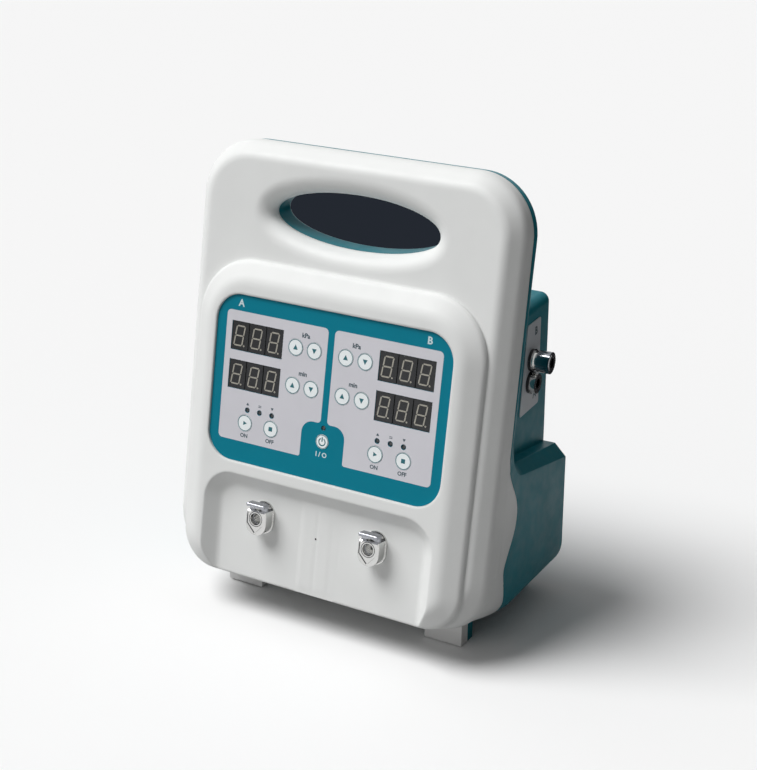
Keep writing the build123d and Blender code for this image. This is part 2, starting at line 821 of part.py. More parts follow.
# Valves on top of the manifold
with BuildPart() as solenoid_valves:
    with BuildSketch(Plane.XY.offset(manifold_top)):
        with Locations(*[(x, manifold_y) for x in valve_places]):
            RectangleRounded(2 * valve_radius, 2 * valve_radius, 2)
    extrude(amount=valve_height * 0.75)
    with BuildSketch(Plane.XY.offset(manifold_top + valve_height * 0.75)):
        with Locations(*[(x, manifold_y) for x in valve_places]):
            Circle(valve_radius / 2)
    extrude(amount=valve_height * 0.25)
finish(solenoid_valves, "solenoid_valves")

# Cuff couplings: turned bodies with a slot for the latch and a shoulder for the air tube
coupling_names = ("a", "b")
coupling_tail = coupling_thread_length + coupling_shoulder_length
slot_bottom = latch_level - latch_gap
slot_height = latch_thickness + 2 * latch_gap
for name, place in zip(coupling_names, coupling_places):
    with BuildPart() as coupling_body:
        with BuildSketch(at_depth(recess_floor)):
            with Locations((place[0], place[1] - coupling_body_drop)):
                SlotOverall(
                    coupling_body_height + 2 * coupling_flange_grow,
                    coupling_body_width + 2 * coupling_flange_grow,
                    rotation=90,
                )
        extrude(amount=coupling_flange)
        with BuildSketch(at_depth(recess_floor)):
            with Locations((place[0], place[1] - coupling_body_drop)):
                SlotOverall(coupling_body_height, coupling_body_width, rotation=90)
            with Locations((place[0], place[1] + coupling_body_top + coupling_body_height / 2)):
                Rectangle(2 * coupling_body_width, coupling_body_height, mode=Mode.SUBTRACT)
        extrude(amount=coupling_body_length)
        chamfer(coupling_body.faces().sort_by(outward)[-1].edges(), coupling_flange / 2)
        with BuildSketch(at_depth(recess_floor)):
            with Locations(place):
                Circle(coupling_thread_radius)
        extrude(amount=-coupling_thread_length)
        with BuildSketch(at_depth(recess_floor + coupling_thread_length)):
            with Locations(place):
                Circle(coupling_shoulder_radius)
        extrude(amount=-coupling_shoulder_length)
        with BuildSketch(at_depth(recess_floor + coupling_tail)):
            with Locations(place):
                Circle(barb_radius)
        extrude(amount=-barb_length)
        with BuildSketch(at_depth(recess_floor - slot_bottom)):
            with Locations(place):
                Rectangle(latch_width + 2 * latch_gap, 2 * coupling_body_height)
        extrude(amount=slot_height, mode=Mode.SUBTRACT)
        with BuildSketch(at_depth(recess_floor - coupling_body_length)):
            with Locations(place):
                Circle(coupling_bore)
        extrude(amount=-coupling_bore_depth, mode=Mode.SUBTRACT)
    finish(coupling_body, f"coupling_body_{name}")

    with BuildPart() as latch:
        with BuildSketch(at_depth(recess_floor - latch_level)):
            with Locations((place[0], place[1] + (tab_bottom + latch_bottom) / 2 + tab_thickness)):
                RectangleRounded(latch_width, tab_bottom - latch_bottom + 2 * tab_thickness, latch_width / 2 - slip_gap)
            with Locations((place[0], place[1] + tab_bottom + latch_width)):
                Rectangle(2 * latch_width, 2 * latch_width, mode=Mode.SUBTRACT)
            with Locations((place[0], place[1] + latch_travel / 2)):
                SlotOverall(
                    2 * coupling_bore + latch_travel + 2 * seat_gap,
                    2 * (coupling_bore + seat_gap),
                    rotation=90,
                    mode=Mode.SUBTRACT,
                )
        extrude(amount=latch_thickness)
        with BuildSketch(at_depth(recess_floor - latch_level)):
            with Locations((place[0], place[1] + tab_bottom + tab_thickness / 2)):
                RectangleRounded(tab_width, tab_thickness, tab_thickness / 4)
        extrude(amount=tab_reach - latch_level)
        fillet(latch.edges().group_by(outward)[-1], tab_thickness / 3)
    finish(latch, f"coupling_latch_{name}")

# Nuts that hold the couplings against the wall
with BuildPart() as coupling_nuts:
    with BuildSketch(at_depth(slab_front + wall)):
        with Locations(*coupling_places):
            RegularPolygon(coupling_nut_radius, 6)
            Circle(coupling_thread_radius + seat_gap, mode=Mode.SUBTRACT)
    extrude(amount=-coupling_nut_thickness)
finish(coupling_nuts, "coupling_nuts")

# Label plate behind the side air ports
port_locals = [(y - rear_y, z) for y, z in port_places]
with BuildPart() as side_label:
    with BuildSketch(block_side) as outline:
        Polygon(
            (label_front_low_y - rear_y, label_low_z),
            (label_rear_y - rear_y, label_low_z),
            (label_rear_y - rear_y, label_high_z),
            (label_front_top_y - rear_y, label_high_z),
            align=None,
        )
        fillet(outline.vertices(), 2)
        with Locations(*port_locals):
            Circle(port_body_radius + seat_gap, mode=Mode.SUBTRACT)
    extrude(amount=label_thickness)
finish(side_label, "side_label")

# Flanges and nuts of the side air ports
flange_top = label_thickness + port_flange_thickness
with BuildPart() as side_port_flanges:
    with BuildSketch(block_side.offset(label_thickness)):
        with Locations(*port_locals):
            Circle(port_flange_radius)
            Circle(port_body_radius + seat_gap, mode=Mode.SUBTRACT)
    extrude(amount=port_flange_thickness)
finish(side_port_flanges, "side_port_flanges")

with BuildPart() as side_port_nuts:
    with BuildSketch(block_side.offset(-wall)):
        with Locations(*port_locals):
            RegularPolygon(port_nut_radius, 6)
            Circle(port_body_radius + seat_gap, mode=Mode.SUBTRACT)
    extrude(amount=-port_nut_thickness)
finish(side_port_nuts, "side_port_nuts")

# Bodies of the side air ports: a short one with a fixed collar, a long one with a sliding sleeve
for name, place, reach in zip(coupling_names, port_locals, port_reach):
    with BuildPart() as port_body:
        with BuildSketch(block_side.offset(reach)):
            with Locations(place):
                Circle(port_body_radius)
        extrude(amount=-(reach + port_thread_length))
        with BuildSketch(block_side.offset(-port_thread_length)):
            with Locations(place):
                Circle(barb_radius)
        extrude(amount=-barb_length)
        with BuildSketch(block_side.offset(flange_top)):
            with Locations(place):
                Circle(port_collar_radius)
        extrude(amount=min(reach - flange_top, port_flange_thickness / 2))
        if name == "a":
            with BuildSketch(block_side.offset(flange_top)):
                with Locations(place):
                    Circle(port_collar_radius)
            extrude(amount=reach - flange_top)
        with BuildSketch(block_side.offset(reach)):
            with Locations(place):
                Circle(port_bore)
        extrude(amount=-port_bore_depth, mode=Mode.SUBTRACT)
    finish(port_body, f"side_port_body_{name}")

sleeve_base = flange_top + port_flange_thickness / 2 + port_sleeve_travel + seat_gap
with BuildPart() as side_port_sleeve:
    with BuildSketch(block_side.offset(sleeve_base)):
        with Locations(port_locals[1]):
            Circle(port_sleeve_radius)
            Circle(port_body_radius + sleeve_clearance, mode=Mode.SUBTRACT)
            with PolarLocations(port_sleeve_radius, knurl_count):
                Rectangle(knurl_width, knurl_width, mode=Mode.SUBTRACT)
    extrude(amount=port_reach[1] - sleeve_base - seat_gap)
finish(side_port_sleeve, "side_port_sleeve")

# Feet, cut to the underside of the case
standoff_form = case_form(-seat_gap)


def feet(name, front_y, depth):
    """Pair of foot blocks between the ground and the underside of the case."""
    with BuildPart() as pair:
        with BuildSketch(Plane.XY):
            with Locations((-foot_x, front_y + depth / 2), (foot_x, front_y + depth / 2)):
                Rectangle(foot_width, depth)
        extrude(amount=3 * ground_clearance)
        chamfer(pair.faces().sort_by(Axis.Z)[0].edges(), foot_round / 2)
        add(standoff_form, mode=Mode.SUBTRACT)
        with BuildSketch(Plane.XY.offset(2 * ground_clearance)):
            Rectangle(2 * case_width, 2 * case_width)
        extrude(amount=2 * ground_clearance, mode=Mode.SUBTRACT)
    finish(pair, name)


feet("front_foot_toes", foot_toe_front_y, foot_toe_depth)
feet("front_foot_heels", foot_toe_front_y + foot_toe_depth, foot_heel_depth)
feet("rear_feet", rear_foot_y - rear_foot_depth / 2, rear_foot_depth)

# Mains inlet with its flange, cavity and screws
with BuildPart() as power_inlet:
    with Locations((inlet_x, rear_y + inlet_flange_thickness / 2, inlet_z)):
        Box(inlet_flange[0], inlet_flange_thickness, inlet_flange[1])
    with Locations((inlet_x, rear_y - inlet_depth / 2, inlet_z)):
        Box(inlet_opening[0] - 2 * seat_gap, inlet_depth, inlet_opening[1] - 2 * seat_gap)
    with Locations((inlet_x, rear_y + inlet_flange_thickness - inlet_cavity_depth / 2, inlet_z)):
        Box(inlet_cavity[0], inlet_cavity_depth, inlet_cavity[1], mode=Mode.SUBTRACT)
    for x in inlet_screw_x:
        cut_y(x, inlet_z, rear_y - wall, rear_y + 2 * wall, small_screw_radius + screw_clearance)
finish(power_inlet, "power_inlet")

cavity_end = rear_y + inlet_flange_thickness - inlet_cavity_depth
with BuildPart() as inlet_pins:
    for x, z in ((-pin_offset, 0.0), (0.0, pin_raise), (pin_offset, 0.0)):
        with Locations((inlet_x + x, cavity_end + pin_length / 2, inlet_z + z - pin_raise / 2)):
            Box(pin_size[0], pin_length, pin_size[1])
finish(inlet_pins, "inlet_pins")

# Rocker switch: frame and rocker, drawn with its lower half pushed in
with BuildPart() as rocker_switch_frame:
    with Locations((rocker_x, rear_y + rocker_frame_flange / 2, inlet_z)):
        Box(rocker_frame[0], rocker_frame_flange, rocker_frame[1])
    with Locations((rocker_x, rear_y - rocker_frame_depth / 2, inlet_z)):
        Box(
            rocker_opening[0] + 2 * rocker_frame_wall,
            rocker_frame_depth,
            rocker_opening[1] + 2 * rocker_frame_wall,
        )
    with Locations((rocker_x, rear_y + rocker_frame_flange - rocker_frame_depth / 2, inlet_z)):
        Box(rocker_opening[0], rocker_frame_depth, rocker_opening[1], mode=Mode.SUBTRACT)
finish(rocker_switch_frame, "rocker_switch_frame")

rocker_pivot_y = rear_y + seat_gap
with BuildPart() as power_rocker:
    with BuildSketch(Plane(origin=(rocker_x, rocker_pivot_y, inlet_z), x_dir=(0, 1, 0), z_dir=(1, 0, 0))):
        Polygon(
            (-rocker_depth, -rocker_half_height),
            (rocker_rise, -rocker_half_height),
            (rocker_dip, 0),
            (rocker_rise, rocker_half_height),
            (-rocker_depth, rocker_half_height),
            (-2 * rocker_depth, 0),
            rotation=rocker_swing,
            align=None,
        )
    extrude(amount=rocker_opening[0] / 2 - slip_gap, both=True)
finish(power_rocker, "power_rocker")

# Case screws, driven from the rear
with BuildPart() as case_screws:
    for x, z, near_end, joint, far_end in posts:
        seat = joint + boss_floor
        cylinder_y(x, z, seat, seat + screw_head_height, screw_head_radius)
        cylinder_y(x, z, seat, seat - screw_length, screw_radius)
        with Locations((x, seat + screw_head_height, z)):
            Box(1, screw_head_height, screw_head_radius, mode=Mode.SUBTRACT)
            Box(screw_head_radius, screw_head_height, 1, mode=Mode.SUBTRACT)
finish(case_screws, "case_screws")

# Small screws of the display board, the main board and the inlet
with BuildPart() as board_screws:
    with BuildSketch(at_depth(board_back)):
        with Locations(*board_boss_places):
            Circle(small_head_radius)
    extrude(amount=-small_head_height)
    with BuildSketch(at_depth(board_back)):
        with Locations(*board_boss_places):
            Circle(small_screw_radius)
    extrude(amount=board_screw_length - seat_gap)
    for x, z in main_post_places:
        cylinder_y(x, z, board_low_y - small_head_height, board_low_y, small_head_radius)
        cylinder_y(x, z, board_low_y, board_low_y + board_screw_length, small_screw_radius)
finish(board_screws, "board_screws")

with BuildPart() as inlet_screws:
    inlet_face = rear_y + inlet_flange_thickness
    for x in inlet_screw_x:
        cylinder_y(x, inlet_z, inlet_face, inlet_face + small_head_height, small_head_radius)
        cylinder_y(x, inlet_z, inlet_face, rear_y - 2 * wall, small_screw_radius)
        with Locations((x, inlet_face + small_head_height, inlet_z)):
            Box(0.8, small_head_height, small_head_radius, mode=Mode.SUBTRACT)
            Box(small_head_radius, small_head_height, 0.8, mode=Mode.SUBTRACT)
finish(inlet_screws, "inlet_screws")


def air_tube(points, direction):
    """One soft tube through these points, added to the open part."""
    with BuildPart() as tube:
        with BuildLine() as path:
            if len(points) == 2:
                Line(*points)
            else:
                FilletPolyline(*points, radius=tube_bend)
        with BuildSketch(Plane(origin=points[0], z_dir=direction)):
            Circle(tube_radius)
            Circle(tube_bore, mode=Mode.SUBTRACT)
        sweep(path=path.line)
    return tube.part


# Air tubes between couplings, ports, pumps, sensors and manifold
tube_start = recess_floor + coupling_tail + seat_gap
tube_turn = tube_start + 2 * tube_bend
sensor_face = board_low_y - sensor_size[1] - seat_gap
with BuildPart() as air_tubes:
    for hand in (-1, 1):
        turn = face_point(hand * coupling_u, coupling_v, tube_turn)
        add(air_tube(
            [
                face_point(hand * coupling_u, coupling_v, tube_start),
                turn,
                Vector(hand * front_tube_x, turn.Y, tube_level),
                Vector(hand * front_tube_x, manifold_front - seat_gap, tube_level),
            ],
            -face_normal,
        ))
        add(air_tube(
            [
                Vector(hand * (manifold_size[0] / 2 + seat_gap), pump_y, tube_level),
                Vector(hand * (pump_x - pump_head_size[0] / 2 - seat_gap), pump_y, tube_level),
            ],
            Vector(hand, 0, 0),
        ))
    for x in sensor_x:
        add(air_tube(
            [
                Vector(x, sensor_face, main_board_z),
                Vector(x, sensor_tube_y, main_board_z),
                Vector(x, sensor_tube_y, tube_level),
                Vector(x, manifold_rear + seat_gap, tube_level),
            ],
            Vector(0, -1, 0),
        ))
    for place, drop_x, end_x, level in zip(port_places, port_tube_x, port_tube_ends, port_tube_levels):
        y, z = place
        wall_point = block_side.from_local_coords((y - rear_y, z, -port_thread_length - seat_gap))
        add(air_tube(
            [
                wall_point,
                wall_point - 2 * tube_bend * block_side.z_dir,
                Vector(drop_x - tube_bend, wall_point.Y, z),
                Vector(drop_x - tube_bend, wall_point.Y, level),
                Vector(end_x, wall_point.Y, level),
                Vector(end_x, manifold_rear + seat_gap, level),
            ],
            -block_side.z_dir,
        ))
finish(air_tubes, "air_tubes")
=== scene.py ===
import json
import math

import bpy
from mathutils import Matrix, Vector


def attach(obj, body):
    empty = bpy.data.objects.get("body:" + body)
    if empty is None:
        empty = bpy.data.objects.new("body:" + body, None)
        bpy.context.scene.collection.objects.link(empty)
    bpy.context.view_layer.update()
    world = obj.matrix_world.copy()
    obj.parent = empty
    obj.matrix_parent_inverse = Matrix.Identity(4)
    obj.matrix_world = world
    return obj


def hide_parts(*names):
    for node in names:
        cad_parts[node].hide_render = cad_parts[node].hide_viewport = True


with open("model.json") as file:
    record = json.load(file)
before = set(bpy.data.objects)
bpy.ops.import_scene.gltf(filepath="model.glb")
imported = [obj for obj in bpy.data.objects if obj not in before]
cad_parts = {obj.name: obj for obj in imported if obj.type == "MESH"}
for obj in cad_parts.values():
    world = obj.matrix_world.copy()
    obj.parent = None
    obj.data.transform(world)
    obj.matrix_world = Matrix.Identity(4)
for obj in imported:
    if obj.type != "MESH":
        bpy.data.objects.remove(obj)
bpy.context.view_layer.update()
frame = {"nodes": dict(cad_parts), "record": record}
nodes = frame["nodes"]

# Flat faces that carry details: the leaning front, the block's right wall and the rear
MM = 0.001
LEAN = math.radians(10.8)
FACE_O = Vector((0.0, -50.3, 160.0))
FACE_U = Vector((1.0, 0.0, 0.0))
FACE_V = Vector((0.0, math.sin(LEAN), math.cos(LEAN)))
FACE_N = Vector((0.0, -math.cos(LEAN), math.sin(LEAN)))
REAR_Y = 70.1
BLOCK_HALF_WIDTH = 96.5
TAPER = math.radians(3.5)
WALL_O = Vector((BLOCK_HALF_WIDTH, REAR_Y, 0.0))
WALL_U = Vector((-math.sin(TAPER), math.cos(TAPER), 0.0))
WALL_V = Vector((0.0, 0.0, 1.0))
WALL_N = Vector((math.cos(TAPER), math.sin(TAPER), 0.0))
BACK_O = Vector((0.0, REAR_Y, 0.0))
BACK_U = Vector((-1.0, 0.0, 0.0))
BACK_V = Vector((0.0, 0.0, 1.0))
BACK_N = Vector((0.0, 1.0, 0.0))


def frame_matrix(origin, u, v, n, rise):
    """Matrix from millimetres on a face, rise above it, to metres in the part."""
    o = (origin + n * rise) * MM
    m = Matrix.Identity(4)
    for row in range(3):
        m[row][0] = u[row] * MM
        m[row][1] = v[row] * MM
        m[row][2] = n[row] * MM
        m[row][3] = o[row]
    return m


def face(rise):
    return frame_matrix(FACE_O, FACE_U, FACE_V, FACE_N, rise)


def wall(rise):
    return frame_matrix(WALL_O, WALL_U, WALL_V, WALL_N, rise)


def back(rise):
    return frame_matrix(BACK_O, BACK_U, BACK_V, BACK_N, rise)


def add_object(name, data):
    o = bpy.data.objects.new(name, data)
    bpy.context.scene.collection.objects.link(o)
    return o


# Materials
DRIFT_SCALE = 35.0
GLOSS_SCALE = 120.0
GRAIN_STRENGTH = 0.35
COAT_ROUGHNESS = 0.12
BEVEL_SAMPLES = 6


def new_material(name):
    m = bpy.data.materials.new(name)
    m.use_nodes = True
    nt = m.node_tree
    return m, nt, nt.nodes["Principled BSDF"]


def noise(nt, scale, detail=3.0):
    coords = nt.nodes.new("ShaderNodeTexCoord")
    tex = nt.nodes.new("ShaderNodeTexNoise")
    tex.inputs["Scale"].default_value = scale
    tex.inputs["Detail"].default_value = detail
    nt.links.new(coords.outputs["Object"], tex.inputs["Vector"])
    return tex


def ramp(nt, source, low, high):
    r = nt.nodes.new("ShaderNodeValToRGB")
    first, second = r.color_ramp.elements
    first.position = 0.35
    second.position = 0.65
    first.color = (*low, 1)
    second.color = (*high, 1)
    nt.links.new(source, r.inputs["Fac"])
    return r


def surface(
    name, colour, rough, grain=1400.0, grain_depth=0.00004, vary=0.03,
    rough_vary=0.05, metal=0.0, coat=0.0, gloss_level=0.5, edge=0.0,
):
    """Plastic, paint or metal with fine grain, slight colour drift and uneven gloss."""
    m, nt, b = new_material(name)
    drift = noise(nt, DRIFT_SCALE)
    low = tuple(c * (1 - vary) for c in colour)
    high = tuple(min(1.0, c * (1 + vary)) for c in colour)
    tint = ramp(nt, drift.outputs["Fac"], low, high)
    nt.links.new(tint.outputs["Color"], b.inputs["Base Color"])
    gloss = noise(nt, GLOSS_SCALE, 4.0)
    r = ramp(nt, gloss.outputs["Fac"], (rough - rough_vary,) * 3, (rough + rough_vary,) * 3)
    nt.links.new(r.outputs["Color"], b.inputs["Roughness"])
    fine = noise(nt, grain, 2.0)
    bump = nt.nodes.new("ShaderNodeBump")
    bump.inputs["Strength"].default_value = GRAIN_STRENGTH
    bump.inputs["Distance"].default_value = grain_depth
    nt.links.new(fine.outputs["Fac"], bump.inputs["Height"])
    if edge:
        soft = nt.nodes.new("ShaderNodeBevel")
        soft.samples = BEVEL_SAMPLES
        soft.inputs["Radius"].default_value = edge
        nt.links.new(soft.outputs["Normal"], bump.inputs["Normal"])
    nt.links.new(bump.outputs["Normal"], b.inputs["Normal"])
    b.inputs["Metallic"].default_value = metal
    b.inputs["Specular IOR Level"].default_value = gloss_level
    b.inputs["Coat Weight"].default_value = coat
    b.inputs["Coat Roughness"].default_value = COAT_ROUGHNESS
    return m


FILM_GRAIN = {"grain": 2600.0, "grain_depth": 0.00002}
FINE_GRAIN = {"grain": 2600.0, "grain_depth": 0.00001}
INK_GRAIN = {"grain": 3000.0, "grain_depth": 0.00001}
LENS_GRAIN = {"grain": 900.0, "grain_depth": 0.00001}
PLATED = {"grain": 500.0, "grain_depth": 0.00001, "metal": 1.0, "rough_vary": 0.03}

WHITE = surface(
    "white_shell", (0.81, 0.82, 0.81), 0.44,
    grain=1700.0, vary=0.012, gloss_level=0.25, edge=0.0026,
)
TEAL = surface(
    "teal_shell", (0.0, 0.162, 0.205), 0.44,
    grain=1500.0, vary=0.05, gloss_level=0.16, edge=0.0008,
)
FILM = surface(
    "overlay_film", (0.0, 0.20, 0.285), 0.40, vary=0.02, gloss_level=0.12, **FILM_GRAIN,
)
GREY = surface("overlay_grey", (0.66, 0.655, 0.70), 0.42, vary=0.02, **FILM_GRAIN)
KEY = surface("key_white", (0.90, 0.95, 0.96), 0.32, vary=0.01, **FINE_GRAIN)
INK = surface("teal_ink", (0.01, 0.13, 0.16), 0.4, **INK_GRAIN)
PALE_INK = surface("pale_ink", (0.62, 0.75, 0.77), 0.4, **INK_GRAIN)
DARK_INK = surface("dark_ink", (0.035, 0.07, 0.09), 0.45, **INK_GRAIN)
DISPLAY = surface(
    "display_face", (0.006, 0.007, 0.009), 0.25,
    grain=2200.0, grain_depth=0.00001, vary=0.2,
)
SEGMENT = surface("display_segment", (0.38, 0.36, 0.31), 0.45, **FINE_GRAIN)
LAMP = surface("lamp_lens", (0.01, 0.016, 0.02), 0.16, coat=0.5, **LENS_GRAIN)
BOARD = surface("board_laminate", (0.01, 0.13, 0.05), 0.4, grain=700.0)
BLACK = surface("black_plastic", (0.013, 0.014, 0.015), 0.42, grain=1500.0, vary=0.1)
CAST = surface("cast_aluminium", (0.55, 0.56, 0.57), 0.42, grain=1100.0, metal=1.0)
WRAP = surface("battery_wrap", (0.02, 0.05, 0.16), 0.3, grain=200.0, grain_depth=0.0001)
STEEL = surface("zinc_steel", (0.55, 0.55, 0.54), 0.3, grain=1300.0, metal=1.0)
CHROME = surface("chrome_plate", (0.66, 0.66, 0.65), 0.08, **PLATED)
DARK_CHROME = surface("dark_chrome", (0.36, 0.37, 0.40), 0.16, **PLATED)
GLOSS_BLACK = surface("gloss_black", (0.008, 0.010, 0.014), 0.16, vary=0.2, **LENS_GRAIN)
BRASS = surface("turned_brass", (0.72, 0.52, 0.24), 0.28, grain=1200.0, metal=1.0)
TUBE = surface("soft_tube", (0.42, 0.47, 0.46), 0.38, grain=900.0)
LABEL = surface("label_plate", (0.50, 0.53, 0.56), 0.4, grain=2400.0, grain_depth=0.00002)
PIN = surface("pin_metal", (0.6, 0.55, 0.42), 0.25, metal=1.0)
# Toe white: the shell's white painted lighter, as painted light that lifts the front toes out of
# the shade under the case
TOE_PAINTED_LIGHT = surface(
    "toe_white_painted_light", (0.90, 0.90, 0.89), 0.5, grain=1700.0, vary=0.012, gloss_level=0.25,
)

LOOKS = {
    "white_shell": WHITE,
    "teal_shell": TEAL,
    "overlay_film": FILM,
    "key_white": KEY,
    "display_black": DISPLAY,
    "lamp_lens": LAMP,
    "circuit_board": BOARD,
    "black_plastic": BLACK,
    "pump_metal": CAST,
    "battery_wrap": WRAP,
    "manifold_aluminium": CAST,
    "steel": STEEL,
    "chrome_plate": CHROME,
    "nut_brass": BRASS,
    "tube_rubber": TUBE,
    "label_plastic": LABEL,
}
OWN_LOOKS = {
    "inlet_pins": PIN,
    "front_foot_toes": TOE_PAINTED_LIGHT,
    "side_port_sleeve": DARK_CHROME,
    "side_port_flanges": GLOSS_BLACK,
    "coupling_latch_a": DARK_CHROME,
    "coupling_latch_b": DARK_CHROME,
}
for part in frame["record"]["subparts"]:
    materials = nodes[part["node"]].data.materials
    materials.clear()
    materials.append(OWN_LOOKS.get(part["node"], LOOKS[part["material_slot"]]))

# Foot of the case: slab and tub drawn together into one smooth form, which also closes
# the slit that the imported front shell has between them
SLAB_CORNER = 38.0
CORNER_U = 78.5
CORNER_V = -96.0
SLAB_FRONT = 8.5
WAIST = 26.0
WAIST_SLACK = 0.1
OUTLINE_SLACK = 0.2
SLAB_DROP = 4.7
SLAB_DROP_SPAN = (60.0, 96.0)
TUB_RISE = 3.3
TUB_RISE_SPAN = (90.0, 103.5)
TUB_RISE_END = 62.0
PAD_HALF_WIDTH = 14.7
PAD_SPAN = (-132.0, -66.0)
PAD_DEPTHS = (5.6, 6.3)
PAD_SUNK_DEPTH = 6.48
FOOT_TOP_FROM = 0.006


def smooth_step(x, low, high):
    t = min(1.0, max(0.0, (x - low) / (high - low)))
    return t * t * (3 - 2 * t)


def face_place(point):
    """Width, height and depth of a point against the leaning face, in millimetres."""
    rel = point / MM - FACE_O
    return rel.x, rel.dot(FACE_V), -rel.dot(FACE_N)


def outside_slab(u, v):
    """How far a point lies outside the slab's rounded lower outline."""
    du = abs(u) - CORNER_U
    dv = CORNER_V - v
    if du > 0 and dv > 0:
        return math.hypot(du, dv) - SLAB_CORNER
    return max(du, dv) - SLAB_CORNER


def moulded_foot(u, v, w):
    """Rise or fall along the face that joins slab and tub at the foot of the case."""
    at_waist = w < WAIST + WAIST_SLACK and outside_slab(u, v) < OUTLINE_SLACK
    if w < WAIST - WAIST_SLACK or at_waist:
        share = min(1.0, max(0.0, (w - SLAB_FRONT) / (WAIST - SLAB_FRONT)))
        return -SLAB_DROP * share * smooth_step(-v, *SLAB_DROP_SPAN)
    return TUB_RISE * (1 - smooth_step(w, WAIST, TUB_RISE_END)) * smooth_step(-v, *TUB_RISE_SPAN)


def shell_move(point):
    """Foot drawn smooth, and the recess's hard-edged pad sunk just under its floor."""
    u, v, w = face_place(point)
    sink = 0.0
    on_pad = abs(u) < PAD_HALF_WIDTH and PAD_SPAN[0] < v < PAD_SPAN[1]
    if on_pad and PAD_DEPTHS[0] < w < PAD_DEPTHS[1]:
        sink = PAD_SUNK_DEPTH - w
    return FACE_V * moulded_foot(u, v, w) - FACE_N * sink


def foot_move(point):
    """Tops of the front feet, raised with the tub's edge."""
    u, v, w = face_place(point)
    if point.z > FOOT_TOP_FROM and w > WAIST - WAIST_SLACK:
        return FACE_V * moulded_foot(u, v, w)
    return Vector()


def stand_in(part, name, move):
    """Copy of a node's mesh with its vertices moved, shown in the node's place."""
    source = nodes[part]
    mesh = source.data.copy()
    mesh.name = name
    mesh.transform(source.matrix_world)
    for vertex in mesh.vertices:
        vertex.co += move(vertex.co) * MM
    mesh.update()
    piece = add_object(name, mesh)
    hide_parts(part)
    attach(piece, "case")


stand_in("front_shell", "front_shell_moulded", shell_move)
stand_in("front_foot_toes", "front_foot_toes_drawn_up", foot_move)
stand_in("front_foot_heels", "front_foot_heels_drawn_up", foot_move)

# Shallow raised band down the middle of the recess, with soft slopes
RECESS_DEPTH = 6.5
PRINT_LIFT = 0.03
BAND_HEIGHT = 0.36
BAND_HALF_WIDTH = 15.0
BAND_LOW = -133.4
BAND_LOW_FULL = -128.0
BAND_HIGH_FULL = -78.0
BAND_HIGH = -72.5
BAND_COLUMNS = 100
BAND_ROWS = 40
BAND = (
    (-BAND_HALF_WIDTH, 0.0),
    (-11.0, BAND_HEIGHT),
    (-3.2, BAND_HEIGHT),
    (-1.2, 0.2),
    (0.8, BAND_HEIGHT),
    (6.8, BAND_HEIGHT),
    (10.6, 0.1),
    (BAND_HALF_WIDTH, 0.0),
)


def band_height(u):
    for (u0, h0), (u1, h1) in zip(BAND, BAND[1:]):
        if u0 <= u <= u1:
            return h0 + (h1 - h0) * smooth_step(u, u0, u1)
    return 0.0


verts, faces = [], []
for j in range(BAND_ROWS + 1):
    v = BAND_LOW + (BAND_HIGH - BAND_LOW) * j / BAND_ROWS
    fade = smooth_step(v, BAND_LOW, BAND_LOW_FULL)
    fade *= 1 - smooth_step(v, BAND_HIGH_FULL, BAND_HIGH)
    for i in range(BAND_COLUMNS + 1):
        u = -BAND_HALF_WIDTH + 2 * BAND_HALF_WIDTH * i / BAND_COLUMNS
        rise = -RECESS_DEPTH + PRINT_LIFT + band_height(u) * fade
        verts.append((FACE_O + FACE_U * u + FACE_V * v + FACE_N * rise) * MM)
for j in range(BAND_ROWS):
    for i in range(BAND_COLUMNS):
        k = j * (BAND_COLUMNS + 1) + i
        faces.append((k, k + 1, k + BAND_COLUMNS + 2, k + BAND_COLUMNS + 1))
mesh = bpy.data.meshes.new("recess_band")
mesh.from_pydata(verts, [], faces)
mesh.polygons.foreach_set("use_smooth", [True] * len(faces))
mesh.materials.append(WHITE)
band = add_object("recess_band", mesh)
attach(band, "case")


# Flat printed shapes: closed loops on a face, each a list of points in millimetres
def circle(u, v, r, count=40):
    turns = [2 * math.pi * i / count for i in range(count)]
    return [(u + r * math.cos(t), v + r * math.sin(t)) for t in turns]


def box(u, v, w, h):
    return [
        (u - w / 2, v - h / 2),
        (u + w / 2, v - h / 2),
        (u + w / 2, v + h / 2),
        (u - w / 2, v + h / 2),
    ]


def rounded(corners, steps=8):
    """Polygon with a radius at each corner: (u, v, radius)."""
    out = []
    n = len(corners)
    for i, (u, v, r) in enumerate(corners):
        p = Vector((u, v))
        da = (Vector(corners[i - 1][:2]) - p).normalized()
        db = (Vector(corners[(i + 1) % n][:2]) - p).normalized()
        half = da.angle(db) / 2
        reach = r / math.tan(half)
        centre = p + (da + db).normalized() * (r / math.sin(half))
        start = p + da * reach - centre
        turn = start.angle_signed(p + db * reach - centre)
        for k in range(steps + 1):
            c, s = math.cos(-turn * k / steps), math.sin(-turn * k / steps)
            out.append((
                centre.x + start.x * c - start.y * s,
                centre.y + start.x * s + start.y * c,
            ))
    return out


def arc_band(u, v, r, width, start, end, count=24):
    """Part of a ring between two angles in degrees, as one loop."""
    angles = [math.radians(start + (end - start) * i / count) for i in range(count + 1)]
    far, near = r + width / 2, r - width / 2
    outer = [(u + far * math.cos(a), v + far * math.sin(a)) for a in angles]
    inner = [(u + near * math.cos(a), v + near * math.sin(a)) for a in reversed(angles)]
    return outer + inner


def place(name, data, matrix, material, body):
    """Turns a curve or text into a mesh in the part's own coordinates that rides on a body."""
    o = add_object(name, data)
    bpy.context.view_layer.update()
    mesh = bpy.data.meshes.new_from_object(o)
    bpy.data.objects.remove(o)
    mesh.transform(matrix)
    mesh.name = name
    piece = add_object(name, mesh)
    mesh.materials.clear()
    mesh.materials.append(material)
    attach(piece, body)


